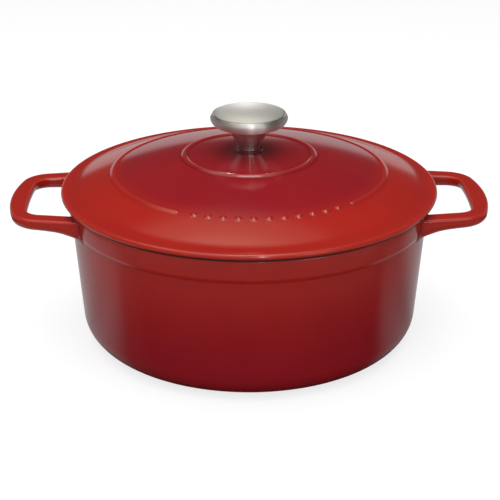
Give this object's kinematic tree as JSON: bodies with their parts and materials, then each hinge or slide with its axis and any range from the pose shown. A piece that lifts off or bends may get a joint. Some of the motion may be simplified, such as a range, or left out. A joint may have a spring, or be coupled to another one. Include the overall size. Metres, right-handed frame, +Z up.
{
  "type": "dutch oven",
  "caption": "Round enamelled cast iron dutch oven with loop handles, a domed lid that lifts off and turns, and a flared steel knob held by a screw.",
  "frame": {"origin": "centre of the flat face that the pot stands on", "axes": "+Z up through the knob, +X through one loop handle, -Y towards the gap in the lid's outer bead"},
  "size_m": [0.3236, 0.254, 0.1607],
  "materials": {
    "red_enamelled_iron": "glossy red enamel over cast iron",
    "cream_enamel": "glossy cream vitreous enamel",
    "stainless_steel": "finely brushed",
    "silicone": "matt black silicone"
  },
  "bodies": {
    "pot": {"pot": "red_enamelled_iron", "pot_enamel_lining": "cream_enamel"},
    "knob": {"knob_gasket": "silicone", "knob_stem_shell": "stainless_steel", "knob_cap": "stainless_steel", "knob_threaded_insert": "stainless_steel", "knob_screw": "stainless_steel", "flat_washer": "stainless_steel", "spring_lock_washer": "stainless_steel"},
    "lid": {"lid": "red_enamelled_iron", "lid_enamel_lining": "cream_enamel"}
  },
  "joints": [
    {"name": "lid_lift", "type": "slide", "parent": "pot", "child": "knob", "axis": [0, 0, 1], "range_m": [0, 0.15]},
    {"name": "lid_turn", "type": "hinge", "parent": "knob", "child": "lid", "pos_m": [0, 0, 0.13], "axis": [0, 0, 1], "continuous": true}
  ]
}
